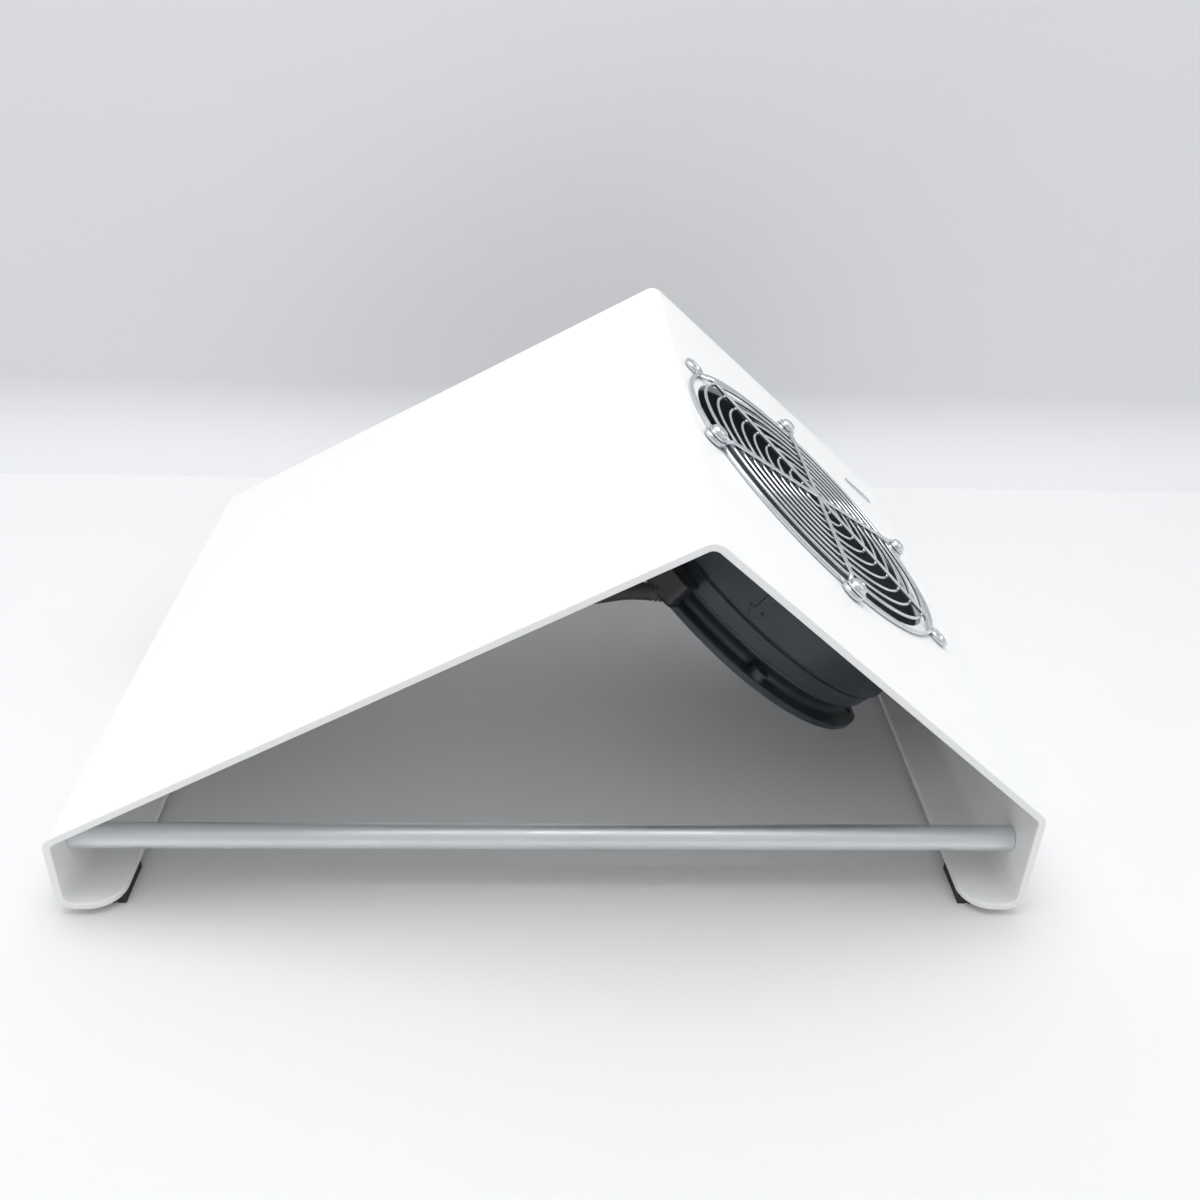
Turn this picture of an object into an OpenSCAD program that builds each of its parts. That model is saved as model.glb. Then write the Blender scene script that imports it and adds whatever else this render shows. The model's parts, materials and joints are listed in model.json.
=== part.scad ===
// Desktop nail dust collector: a bent sheet tent with an axial fan hung under its short slope.
// X runs across the tent from the long slope to the short one, Y runs along the ridge, Z is up.
// The origin is on the table, under the middle of the body.

/* [Body sheet] */
// Width across the outside of the two legs
body_w = 370; // [350:1:400]
// Depth of the body along the ridge
body_d = 285; // [270:1:320]
// Height of the ridge's outer corner before rounding
ridge_h = 164.5; // [158:0.5:180]
// Distance of the ridge from the middle of the body
ridge_x = 52; // [45:1:56]
// Height of the corner where the long slope meets the left leg
left_bend_h = 36; // [35.5:0.5:42]
// Height of the corner where the short slope meets the right leg
right_bend_h = 49; // [44:0.5:56]
// Thickness of the coated steel sheet
sheet_t = 3; // [2:0.5:3]
// Inside radius of every bend
bend_r = 3.5; // [2.5:0.5:4]
// Width of the foot flanges, measured inwards from the outside of the legs
flange_w = 23; // [22:1:28]
// Radius of the flanges' free corners
flange_corner_r = 12; // [6:1:14]

/* [Feet and rods] */
// Thickness of the rubber feet
pad_t = 3; // [2.5:0.5:4]
// Width of the rubber feet, across the flanges
pad_w = 16; // [10:1:16]
// Length of the rubber feet, along the flanges
pad_l = 20; // [14:1:30]
// Distance from the front and rear edges to the feet
pad_inset = 6.5; // [4:0.5:12]
// Diameter of the tie rods
rod_d = 10; // [8:1:12]
// Height of the tie rods above the table
rod_z = 25; // [22:0.5:26]
// Distance of each tie rod from the front or rear edge
rod_inset = 17; // [14:1:22]

/* [Fan] */
// Distance of the fan's axis down the short slope from the ridge corner
fan_down_slope = 84; // [83:1:88]
// Diameter of the fan's flanges
fan_d = 172; // [172:1:172]
// Distance between the flat sides of the fan
fan_flat_w = 150; // [150:1:152]
// Height of the fan from flange to flange
fan_h = 51; // [51:1:55]
// Pitch circle diameter of the fan's fixing holes
fan_pcd = 162; // [161:1:163]
// Radius of the air passage at its narrowest
throat_r = 71; // [70:0.5:72]
// Gap between the blade tips and the throat
tip_gap = 1.5; // [1:0.25:3]
// Number of blades
blade_count = 7; // [5:1:7]
// Pitch of the blades from the plane they turn in
blade_pitch = 38; // [30:1:40]

/* [Finger guard] */
// Number of concentric wires
guard_rings = 10; // [6:1:10]
// Distance from one concentric wire to the next
guard_pitch = 7.5; // [7.5:0.5:7.5]
// Diameter of the thin concentric wires
guard_wire_d = 1.6; // [1.6:0.1:2.4]
// Diameter of the outer wire and of the ribs
guard_rib_d = 3; // [2.6:0.1:3.2]

/* [Power] */
// Position of the power inlet along the left leg
inlet_y = 40; // [34:1:44]
// Position of the rocker switch along the left leg
switch_y = 88; // [84:1:98]
// Height of the inlet and the switch above the table
controls_z = 21; // [20.5:0.5:21.5]
// Diameter of the lead inside the tent
lead_d = 7; // [5:0.5:7]

/* [Hidden] */
$fn = 64;

// Small step used where a cutter passes through a face
eps = 0.5;
leg_x = body_w / 2;
left_angle = atan2(ridge_h - left_bend_h, ridge_x + leg_x);
right_angle = atan2(ridge_h - right_bend_h, leg_x - ridge_x);

// How far the ridge's inner corner lies below and beside its outer corner
inner_ridge_shift =
    sheet_t * (1 / cos(left_angle) - 1 / cos(right_angle)) / (tan(left_angle) + tan(right_angle));
inner_ridge_drop = sheet_t / cos(left_angle) - inner_ridge_shift * tan(left_angle);

// Corners of the sheet's profile before rounding, outside and inside, from the left foot to the right one
outer_corners = [
    [-leg_x, pad_t],
    [-leg_x, left_bend_h],
    [ridge_x, ridge_h],
    [leg_x, right_bend_h],
    [leg_x, pad_t]
];
inner_x = leg_x - sheet_t;
flange_x = leg_x - flange_w;
inner_corners = [
    [-inner_x, pad_t + sheet_t],
    [-inner_x, left_bend_h + sheet_t * tan(left_angle) - sheet_t / cos(left_angle)],
    [ridge_x + inner_ridge_shift, ridge_h - inner_ridge_drop],
    [inner_x, right_bend_h + sheet_t * tan(right_angle) - sheet_t / cos(right_angle)],
    [inner_x, pad_t + sheet_t]
];
// The bends' arcs cross the flats at a slight angle, so that the two never merely touch
arc_overlap = 0.01;

rod_y = body_d / 2 - rod_inset;
rod_screw_r = 2.5;
rod_screw_depth = 12;
rod_screw_clear_r = 2.75;
rod_bore_spare = 2;
// Heads of the screws as radius and height
rod_screw_head = [4.75, 2.75];
guard_screw_head = [3.9, 2.6];
inlet_screw_head = [2.8, 1.5];

// The badge's straight length, width, thickness and place on the short slope
badge_size = [14, 7];
badge_t = 0.4;
badge_at = [66, 104];

// Heights in the fan's own frame: zero is the outer face of the sheet and minus is under it
fan_top = -sheet_t;
fan_bottom = fan_top - fan_h;
flange_r = fan_d / 2;
flange_t = 4;
barrel_r = 84;
barrel_bottom = -35;
neck_r = 82;
neck_bottom = -43;
waist_r = 77.5;
lip_top = -51;
outlet_r = 73.5;
strut_top = -46;
strut_w = 8;
strut_overlap = 2;
motor_plate_r = 40;
motor_plate_top = -47;
motor_plate_bottom = -52;
hole_angles = [30, 90, 150, 210, 270, 330];
// The guard is screwed down at four of its six eyelets
screw_angles = [30, 90, 210, 270];
guard_screw_r = 2;
guard_screw_clear_r = 2.6;
guard_screw_depth = 14;
outlet_hole_r = 2.2;
outlet_hole_depth = 8;
boss_r = 4;
boss_h = 5;
// The arrow's direction round the barrel, how far it stands out and goes in, and its middle
arrow_angle = 255;
arrow_t = 0.65;
arrow_root = 0.15;
arrow_mid = -28;

shaft_r = 3;
bearing_gap = 0.05;
bearing_r = 9.5;
bearing_w = 6;
front_bearing_top = -17.5;
rear_bearing_top = -41;
bearing_tube_r = 12;
bearing_tube_top = -17;
bearing_cap_t = 1.5;
label_r = 30;
label_t = 0.4;
shaft_bottom = -49.5;
shaft_clip_r = 5.5;
shaft_clip_top = -47.4;
shaft_clip_t = 0.8;
cup_r = 44;
cup_wall = 2.5;
cup_top = -8;
cup_bottom = -43;
cup_boss_r = 8;
cup_boss_h = 8;
hub_wall = 2;
hub_top = -9;
cage_r = 36.5;
cage_top = -18;
cage_bottom = -41;
core_r = 35.5;
core_top = -20;
core_bottom = -38;
slot_count = 8;
slot_w = 6;
slot_inner_r = 20;
slot_outer_r = 32.5;
slot_mouth_w = 2;
coil_h = 4.5;
coil_inner_r = 18;
// Middle of the two wires' route from the windings to the terminals, along one strut
strut_angle = 225;
wire_gap = 1.5;
wire_r = 0.7;
wire_route = [
    [30, 0, -42.5], [33, 0, -44.3], [38, 0, -45.2], [48, 0, -45.2], [60, 2, -45.2], [72, 5, -45.2]
];
blade_mid = -26;
blade_chord = 50;
blade_t = 1.8;
camber_r = 60;

eyelet_r = 4;
eyelet_wire_r = 1.4;
first_ring_r = 9;
rib_r = guard_rib_d / 2;
rib_z = 4.4;
rib_knee = 70;
rib_foot = 75.5;
knee_extra = 0.1;
ring_z = 2.3;
washer_r = 5;
washer_bore_r = 2.15;
washer_t = 0.8;

// The terminals and the plug stand on the fan's near side, towards the ridge
plug_angle = 233;
terminal_r = 74;
terminal_size = [10, 18, 9];
terminal_bottom = -50;
tab_r = 76;
tab_size = [14, 4.8, 0.8];
tab_spacing = 9;
tab_bottom = -45.9;
plug_size = [12, 20, 11.1];
plug_bottom = -50.6;
plug_nose_r = 4.5;
plug_nose_len = 10;
plug_exit = [38, -76, 106.5];
// Points of the lead's route from the plug, along the underside of the long slope, to the inlet's boot
lead_route = [
    plug_exit,
    [28, -76, 106.5],
    [14, -75, 103.5],
    [-8, -72, 99],
    [-30, -67, 97],
    [-50, -62, 96.5],
    [-66, -56, 90],
    [-84, -49, 80.5],
    [-104, -41, 69.7],
    [-122, -32, 59.9],
    [-136, -22, 52.3],
    [-146, -12, 46],
    [-152, -4, 37],
    [-155, 4, 28.5],
    [-156, 12, 23],
    [-156, 20, 21]
];
lead_steps = 3;
lead_sides = 12;
// The saddles sit at these points of the route
clip_stops = [7, 8, 10];
clip_base = [12, 16, 2];
clip_w = 8;
clip_wall = 1.4;
clip_slack = 0.4;

inlet_flange = [50, 21];
inlet_flange_t = 1.2;
inlet_flange_corner_r = 3;
inlet_body = [27, 19.5];
inlet_depth = 22;
socket_depth = 16;
pin_size = [2, 4];
pin_spacing = 7;
inlet_screw_span = 40;
inlet_screw_r = 1.5;
inlet_screw_len = 10;
inlet_hole_r = 1.6;
inlet_hole_clear_r = 1.7;
nut_r = 3.1;
nut_h = 2.4;
boot = [30, 22, 14];
boot_overlap = 3;
sleeve_r = 5;
sleeve_len = 8;
control_gap = 0.4;

bezel = [21, 15];
bezel_t = 1.2;
bezel_corner_r = 1.5;
switch_body = [19.2, 13.2];
switch_depth = 17;
well_w = 18;
well_depth = 13;
rocker_gap = 0.3;
rocker_r = 8.7;
rocker_w = 10;
rocker_pivot = -1;
rocker_tilt = 10;
pivot_pin_r = 1.2;
pivot_pin_reach = 1.2;
switch_tab_size = [0.8, 4.8, 12];
switch_tab_x = 4.5;
switch_tab_reach = 8;
switch_wire_r = 1;

// ---- Shared helpers ----

function unit(v) = v / norm(v);

// Height of the long slope's underside at a place across the tent
function left_underside(x) = left_bend_h + (x + leg_x) * tan(left_angle) - sheet_t / cos(left_angle);

// Places its children in the fan's frame: Z along the axis, X down the slope
module at_fan() {
    translate([ridge_x, 0, ridge_h])
        rotate([0, right_angle, 0])
            translate([fan_down_slope, 0, 0])
                children();
}

module tube(outer, inner, top, bottom) {
    difference() {
        translate([0, 0, bottom]) cylinder(r = outer, h = top - bottom);
        translate([0, 0, bottom - eps]) cylinder(r = inner, h = top - bottom + 2 * eps);
    }
}

module torus(ring_r, wire_r, z) {
    translate([0, 0, z]) rotate_extrude() translate([ring_r, 0]) circle(r = wire_r);
}

// Round bar from one point to another
module bar(p, q, r) {
    v = q - p;
    translate(p)
        rotate([0, acos(v[2] / norm(v)), atan2(v[1], v[0])])
            cylinder(r = r, h = norm(v));
}

// Slab with four round corners
module rounded_plate(size, r, t) {
    linear_extrude(t) union() {
        square([size[0] - 2 * r, size[1]], center = true);
        square([size[0], size[1] - 2 * r], center = true);
        for (x = [-1, 1], y = [-1, 1])
            translate([x * (size[0] / 2 - r), y * (size[1] / 2 - r)]) circle(r = r);
    }
}

// Smooth curve through hand-placed points
function spline(a, b, c, d, t) =
    0.5 * (2 * b + (c - a) * t + (2 * a - 5 * b + 4 * c - d) * t * t + (3 * b - a - 3 * c + d) * t * t * t);
function smooth(p, steps) = [
    for (i = [0 : len(p) - 2], k = [0 : steps - 1])
        spline(i == 0 ? 2 * p[0] - p[1] : p[i - 1], p[i], p[i + 1],
            i == len(p) - 2 ? 2 * p[i + 1] - p[i] : p[i + 2], k / steps),
    p[len(p) - 1]
];

// Ring of points round one place on a curve
function heading(p, i) = unit(p[min(i + 1, len(p) - 1)] - p[max(i - 1, 0)]);
function ring_at(p, i, r, sides) =
    let (t = heading(p, i), u = unit(cross(t, [1, 1, 0])), v = cross(t, u))
        [for (k = [0 : sides - 1]) p[i] + r * (cos(360 * k / sides) * u + sin(360 * k / sides) * v)];

module swept(p, r, sides) {
    n = len(p);
    points = [for (i = [0 : n - 1]) each ring_at(p, i, r, sides)];
    walls = [
        for (i = [0 : n - 2], k = [0 : sides - 1])
            let (m = (k + 1) % sides, a = i * sides, b = (i + 1) * sides)
                [a + k, b + k, b + m, a + m]
    ];
    start_cap = [for (k = [0 : sides - 1]) k];
    end_cap = [for (k = [sides - 1 : -1 : 0]) (n - 1) * sides + k];
    polyhedron(points = points, faces = concat(walls, [start_cap, end_cap]));
}

// ---- Body sheet, feet and rods ----

// Removes what lies outside the arc that rounds the corner p between its neighbours
module corner_cut(before, p, after, r) {
    u = unit(before - p);
    v = unit(after - p);
    half = acos(u * v) / 2;
    depth = r - arc_overlap;
    centre = p + unit(u + v) * depth / sin(half);
    reach = depth / tan(half);
    beyond = (1 + 1 / depth) * (p - centre);
    difference() {
        polygon([
            centre,
            centre + (p + u * reach - centre) * (1 + 1 / depth),
            centre + beyond,
            centre + (p + v * reach - centre) * (1 + 1 / depth)
        ]);
        translate(centre) circle(r = r);
    }
}

// Polygon through the start, the five corners rounded to radius r, and the end
module rounded_outline(start, bends, end, r) {
    path = concat([start], bends, [end]);
    difference() {
        polygon(path);
        for (i = [1 : len(path) - 2]) corner_cut(path[i - 1], path[i], path[i + 1], r);
    }
}

module sheet_profile() {
    difference() {
        rounded_outline([-flange_x, pad_t], outer_corners, [flange_x, pad_t], bend_r + sheet_t);
        rounded_outline([-flange_x, pad_t + sheet_t], inner_corners, [flange_x, pad_t + sheet_t], bend_r);
        translate([-flange_x, 0]) square([2 * flange_x, pad_t + 2 * sheet_t]);
    }
}

// Removes what lies outside the round corner of one flange
module flange_corner_cut(x_side, y_side) {
    r = flange_corner_r;
    translate([x_side * flange_x, y_side * body_d / 2, pad_t - eps])
        scale([x_side, -y_side, 1])
            difference() {
                translate([-eps, -eps, 0]) cube([r + eps, r + eps, sheet_t + 2 * eps]);
                translate([r, r, -eps]) cylinder(r = r, h = sheet_t + 4 * eps);
            }
}

module body_shell() {
    color("white") difference() {
        rotate([90, 0, 0]) linear_extrude(body_d, center = true) sheet_profile();
        for (x = [-1, 1], y = [-1, 1]) flange_corner_cut(x, y);
        at_fan() translate([0, 0, -2 * sheet_t]) cylinder(r = throat_r, h = 3 * sheet_t, $fn = 128);
        at_fan() for (a = screw_angles)
            rotate(a) translate([fan_pcd / 2, 0, -2 * sheet_t])
                cylinder(r = guard_screw_clear_r, h = 3 * sheet_t);
        for (x = [-1, 1], y = [-1, 1])
            translate([x * (leg_x - sheet_t / 2), y * rod_y, rod_z]) rotate([0, 90, 0])
                cylinder(r = rod_screw_clear_r, h = 2 * sheet_t, center = true);
        translate([-leg_x, inlet_y, controls_z])
            cube([3 * sheet_t, inlet_body[0] + control_gap, inlet_body[1] + control_gap], center = true);
        translate([-leg_x, switch_y, controls_z])
            cube([3 * sheet_t, switch_body[0] + control_gap, switch_body[1] + control_gap], center = true);
        for (y = [-1, 1]) translate([-leg_x, inlet_y + y * inlet_screw_span / 2, controls_z])
            rotate([0, 90, 0]) cylinder(r = inlet_hole_clear_r, h = 3 * sheet_t, center = true);
    }
}

module foot(x_side, y_side) {
    color("dimgray") scale([x_side, y_side, 1])
        translate([flange_x, body_d / 2 - pad_inset - pad_l, 0]) cube([pad_w, pad_l, pad_t]);
}
module foot_front_left() { foot(-1, -1); }
module foot_rear_left() { foot(-1, 1); }
module foot_front_right() { foot(1, -1); }
module foot_rear_right() { foot(1, 1); }

module tie_rod(side) {
    half = leg_x - sheet_t;
    color("silver") translate([0, side * rod_y, rod_z]) rotate([0, 90, 0]) difference() {
        cylinder(r = rod_d / 2, h = 2 * half, center = true);
        for (s = [-1, 1]) translate([0, 0, s * half])
            cylinder(r = rod_screw_r, h = 2 * (rod_screw_depth + rod_bore_spare), center = true);
    }
}
module front_rod() { tie_rod(-1); }
module rear_rod() { tie_rod(1); }

// Button-head screw, with its head's underside at z = 0 and its shank below
module button_screw(shank_r, shank_len, head) {
    head_r = head[0];
    head_h = head[1];
    difference() {
        union() {
            rotate_extrude() polygon([
                [0, 0], [head_r, 0], [head_r, 0.3 * head_h], [0.85 * head_r, 0.7 * head_h],
                [0.55 * head_r, head_h], [0, head_h]
            ]);
            translate([0, 0, -shank_len]) cylinder(r = shank_r, h = shank_len + 0.1);
        }
        translate([0, 0, 0.45 * head_h]) cylinder(r = 0.62 * shank_r, h = head_h, $fn = 6);
    }
}

module rod_screws() {
    color("silver") for (x = [-1, 1], y = [-1, 1])
        translate([x * leg_x, y * rod_y, rod_z]) rotate([0, x * 90, 0])
            button_screw(rod_screw_r, sheet_t + rod_screw_depth, rod_screw_head);
}

// Blank oval plate on the short slope
module badge() {
    color("lightgray") at_fan() translate(badge_at) linear_extrude(badge_t) union() {
        square(badge_size, center = true);
        for (s = [-1, 1]) translate([s * badge_size[0] / 2, 0]) circle(d = badge_size[1]);
    }
}

// ---- Finger guard and its screws ----

// Eyelet loop and the end of the rib that bends down into it
module guard_eyelet(a) {
    rotate(a) {
        translate([fan_pcd / 2, 0, 0]) torus(eyelet_r, eyelet_wire_r, eyelet_wire_r);
        translate([rib_knee, 0, rib_z]) sphere(r = rib_r + knee_extra);
        bar([rib_knee, 0, rib_z], [rib_foot, 0, rib_r], rib_r);
    }
}

module finger_guard() {
    color("silver") at_fan() union() {
        for (k = [0 : guard_rings - 2]) torus(first_ring_r + guard_pitch * k, guard_wire_d / 2, ring_z);
        torus(first_ring_r + guard_pitch * (guard_rings - 1), rib_r, rib_r);
        for (a = hole_angles) guard_eyelet(a);
        for (a = [30, 90, 150]) rotate([0, 90, a])
            translate([-rib_z, 0, 0]) cylinder(r = rib_r, h = 2 * rib_knee, center = true);
    }
}

module guard_screws() {
    washer_top = guard_rib_d + washer_t;
    color("silver") at_fan() for (a = screw_angles)
        rotate(a) translate([fan_pcd / 2, 0, washer_top])
            button_screw(guard_screw_r, washer_top + sheet_t + guard_screw_depth, guard_screw_head);
}

module guard_washers() {
    color("silver") at_fan() for (a = screw_angles)
        rotate(a) translate([fan_pcd / 2, 0, 0])
            tube(washer_r, washer_bore_r, guard_rib_d + washer_t, guard_rib_d);
}

// ---- Fan housing and the still parts of its motor ----

module housing_ring() {
    intersection() {
        rotate_extrude($fn = 128) polygon([
            [throat_r, fan_top], [flange_r, fan_top], [flange_r, fan_top - flange_t],
            [barrel_r, fan_top - flange_t], [barrel_r, barrel_bottom], [neck_r, barrel_bottom - 1],
            [neck_r, neck_bottom],
            [waist_r + 1.5, neck_bottom - 1.5], [waist_r, neck_bottom - 4], [waist_r, lip_top + 1],
            [waist_r + 1, lip_top], [flange_r, lip_top], [flange_r, fan_bottom],
            [outlet_r, fan_bottom], [throat_r, strut_top]
        ]);
        translate([0, 0, (fan_top + fan_bottom) / 2]) cube([fan_flat_w, fan_d + 4, fan_h + 4], center = true);
    }
}

module hole_boss(a) {
    rotate(a) translate([fan_pcd / 2, 0, lip_top - 1]) cylinder(r = boss_r, h = boss_h);
}

module fan_housing() {
    color("black") at_fan() difference() {
        union() {
            housing_ring();
            for (a = [90, 270]) hole_boss(a);
            translate([0, 0, motor_plate_bottom])
                cylinder(r = motor_plate_r, h = motor_plate_top - motor_plate_bottom);
            translate([0, 0, motor_plate_bottom])
                cylinder(r = bearing_tube_r, h = bearing_tube_top - motor_plate_bottom);
            for (k = [0 : 3]) rotate(strut_angle + 90 * k)
                translate([motor_plate_r - strut_overlap, -strut_w / 2, motor_plate_bottom])
                    cube([throat_r - motor_plate_r + 2 * strut_overlap, strut_w,
                        strut_top - motor_plate_bottom]);
        }
        translate([0, 0, motor_plate_bottom - eps])
            cylinder(r = bearing_r, h = bearing_tube_top - motor_plate_bottom + 2 * eps);
        for (a = hole_angles) rotate(a) translate([fan_pcd / 2, 0, 0]) {
            translate([0, 0, fan_top - guard_screw_depth - 1])
                cylinder(r = guard_screw_r, h = guard_screw_depth + 1 + eps);
            translate([0, 0, fan_bottom - eps]) cylinder(r = outlet_hole_r, h = outlet_hole_depth + eps);
        }
        terminal_pocket();
    }
}

// Space that the terminal block fills in the side of the housing, open to the outside
module terminal_pocket() {
    rotate(plug_angle) translate([terminal_r, -terminal_size[1] / 2, terminal_bottom])
        cube([flange_r - terminal_r + 2, terminal_size[1], terminal_size[2]]);
}

// Raised arrow that shows which way the air goes, with no lettering
module airflow_arrow() {
    color("black") at_fan() rotate(arrow_angle)
        translate([barrel_r - arrow_root, 0, arrow_mid]) rotate([90, 0, 90])
        linear_extrude(arrow_root + arrow_t)
            polygon([[-1.5, 7], [1.5, 7], [1.5, -1], [4, -1], [0, -6.5], [-4, -1], [-1.5, -1]]);
}

module bearing(top) {
    color("gainsboro") at_fan() tube(bearing_r, shaft_r + bearing_gap, top, top - bearing_w);
}
module front_bearing() { bearing(front_bearing_top); }
module rear_bearing() { bearing(rear_bearing_top); }

module bearing_cap() {
    color("dimgray") at_fan() translate([0, 0, motor_plate_bottom])
        cylinder(r = bearing_r, h = bearing_cap_t);
}

module winding_slots() {
    for (k = [0 : slot_count - 1]) rotate(k * 360 / slot_count)
        translate([slot_inner_r, -slot_w / 2, core_bottom])
            cube([slot_outer_r - slot_inner_r, slot_w, core_top - core_bottom]);
}

module stator_core() {
    color("slategray") at_fan() difference() {
        tube(core_r, bearing_tube_r, core_top, core_bottom);
        winding_slots();
        for (k = [0 : slot_count - 1]) rotate(k * 360 / slot_count)
            translate([slot_outer_r - 1, -slot_mouth_w / 2, core_bottom - eps])
                cube([core_r - slot_outer_r + 2, slot_mouth_w, core_top - core_bottom + 2 * eps]);
    }
}

module stator_windings() {
    color("orangered") at_fan() {
        tube(slot_outer_r, coil_inner_r, core_top + coil_h, core_top);
        tube(slot_outer_r, coil_inner_r, core_bottom, core_bottom - coil_h);
        winding_slots();
    }
}

// Two wires from the windings, out along one strut to the terminal block
module stator_wires() {
    color("ivory") at_fan() rotate(strut_angle) for (s = [-1, 1])
        swept(smooth([for (p = wire_route) p + [0, s * wire_gap, 0]], 2), wire_r, 8);
}

module motor_label() {
    color("silver") at_fan()
        tube(label_r, bearing_r + 1, motor_plate_bottom, motor_plate_bottom - label_t);
}

// ---- Turning parts of the fan ----

module blade_section() {
    rotate(blade_pitch) translate([0, -camber_r]) intersection() {
        difference() {
            circle(r = camber_r + blade_t / 2, $fn = 180);
            circle(r = camber_r - blade_t / 2, $fn = 180);
        }
        translate([-blade_chord / 2, 0]) square([blade_chord, 2 * camber_r]);
    }
}

module impeller_hub() {
    color("dimgray") at_fan() tube(cup_r + hub_wall, cup_r, hub_top, cup_bottom);
}

// Curved blades, each fixed to the hub by its root
module fan_blades() {
    tip_r = throat_r - tip_gap;
    hub_r = cup_r + hub_wall;
    color("dimgray") at_fan() difference() {
        intersection() {
            for (k = [0 : blade_count - 1]) rotate(k * 360 / blade_count)
                translate([0, 0, blade_mid]) rotate([90, 0, 90])
                    translate([0, 0, cup_r]) linear_extrude(tip_r - cup_r + 4) blade_section();
            translate([0, 0, cup_bottom]) cylinder(r = tip_r, h = cup_top - cup_bottom, $fn = 128);
        }
        translate([0, 0, cup_bottom - eps]) cylinder(r = hub_r, h = cup_top - cup_bottom + 2 * eps);
    }
}

module rotor_cup() {
    color("dimgray") at_fan() difference() {
        union() {
            difference() {
                translate([0, 0, cup_bottom]) cylinder(r = cup_r, h = cup_top - cup_bottom);
                translate([0, 0, cup_bottom - eps])
                    cylinder(r = cup_r - cup_wall, h = cup_top - cup_bottom - cup_wall + eps);
            }
            translate([0, 0, cup_top - cup_boss_h]) cylinder(r = cup_boss_r, h = cup_boss_h - 1);
        }
        translate([0, 0, cup_top - cup_boss_h - eps]) cylinder(r = shaft_r, h = cup_boss_h + 2 * eps);
    }
}

module rotor_cage() {
    color("slategray") at_fan() tube(cup_r - cup_wall, cage_r, cage_top, cage_bottom);
}

module rotor_shaft() {
    color("gainsboro") at_fan() translate([0, 0, shaft_bottom])
        cylinder(r = shaft_r, h = cup_top - shaft_bottom);
}

module shaft_clip() {
    color("gray") at_fan() tube(shaft_clip_r, shaft_r, shaft_clip_top, shaft_clip_top - shaft_clip_t);
}

// ---- Wiring ----

module terminal_tabs_shape() {
    rotate(plug_angle) for (s = [-1, 1])
        translate([tab_r, (s * tab_spacing - tab_size[1]) / 2, tab_bottom]) cube(tab_size);
}

module terminal_block() {
    color("black") at_fan() difference() {
        rotate(plug_angle) translate([terminal_r, -terminal_size[1] / 2, terminal_bottom])
            cube(terminal_size);
        terminal_tabs_shape();
    }
}

module terminal_tabs() {
    color("gold") at_fan() terminal_tabs_shape();
}

// Plug on the terminals, with a round nose that the lead leaves from
module fan_plug() {
    nose = unit(lead_route[0] - lead_route[1]);
    plug_r = terminal_r + terminal_size[0];
    color("black") difference() {
        union() {
            at_fan() rotate(plug_angle) translate([plug_r, -plug_size[1] / 2, plug_bottom]) cube(plug_size);
            bar(plug_exit, plug_exit + plug_nose_len * nose, plug_nose_r);
        }
        at_fan() terminal_tabs_shape();
        at_fan() rotate(plug_angle) translate([plug_r - 20, -20, plug_bottom - 10]) cube([20, 40, 30]);
    }
}

module fan_lead() {
    color("black") swept(smooth(lead_route, lead_steps), lead_d / 2, lead_sides);
}

// Stick-on saddle that holds the lead under the long slope, at one point of its route
module cable_clip(stop) {
    p = lead_route[stop];
    run = lead_route[stop - 1] - lead_route[stop + 1];
    inner = lead_d / 2 + clip_slack;
    outer = inner + clip_wall;
    drop = (left_underside(p[0]) - p[2]) * cos(left_angle);
    translate(p) rotate([0, -left_angle, 0]) rotate(atan2(run[1], norm([run[0], run[2]]))) {
        translate([-clip_base[0] / 2, -clip_base[1] / 2, drop - clip_base[2]]) cube(clip_base);
        rotate([0, 90, 0]) difference() {
            union() {
                cylinder(r = outer, h = clip_w, center = true);
                translate([1 - drop, -outer, -clip_w / 2]) cube([drop - 1, 2 * outer, clip_w]);
            }
            cylinder(r = inner, h = clip_w + 1, center = true);
        }
    }
}
module cable_clips() {
    color("white") for (stop = clip_stops) cable_clip(stop);
}

// Places its children on the outside of the left leg, with Z pointing out and X along the leg
module on_left_leg(y) {
    translate([-leg_x, y, controls_z]) rotate([90, 0, -90]) children();
}

module power_inlet() {
    color("black") on_left_leg(inlet_y) difference() {
        union() {
            rounded_plate(inlet_flange, inlet_flange_corner_r, inlet_flange_t);
            translate([-inlet_body[0] / 2, -inlet_body[1] / 2, -inlet_depth])
                cube([inlet_body[0], inlet_body[1], inlet_depth + 1]);
        }
        translate([0, 0, -socket_depth]) linear_extrude(socket_depth + inlet_flange_t + eps)
            polygon([[-12, -8], [12, -8], [12, 3], [7, 8], [-7, 8], [-12, 3]]);
        for (s = [-1, 1]) translate([s * inlet_screw_span / 2, 0, -eps])
            cylinder(r = inlet_hole_r, h = inlet_flange_t + 2 * eps);
        inlet_pins_shape();
    }
}

module inlet_pins_shape() {
    for (k = [-1, 0, 1])
        translate([k * pin_spacing - pin_size[0] / 2, k == 0 ? -1 : -pin_size[1] - 1, -inlet_depth - 1])
            cube([pin_size[0], pin_size[1], inlet_depth - 2]);
}
module inlet_pins() {
    color("gold") on_left_leg(inlet_y) inlet_pins_shape();
}

module inlet_screws() {
    color("silver") on_left_leg(inlet_y) for (s = [-1, 1])
        translate([s * inlet_screw_span / 2, 0, inlet_flange_t])
            button_screw(inlet_screw_r, inlet_screw_len, inlet_screw_head);
}

module inlet_nuts() {
    color("silver") on_left_leg(inlet_y) for (s = [-1, 1])
        translate([s * inlet_screw_span / 2, 0, -sheet_t - nut_h]) difference() {
            cylinder(r = nut_r, h = nut_h, $fn = 6);
            translate([0, 0, -eps]) cylinder(r = inlet_screw_r, h = nut_h + 2 * eps);
        }
}

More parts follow.
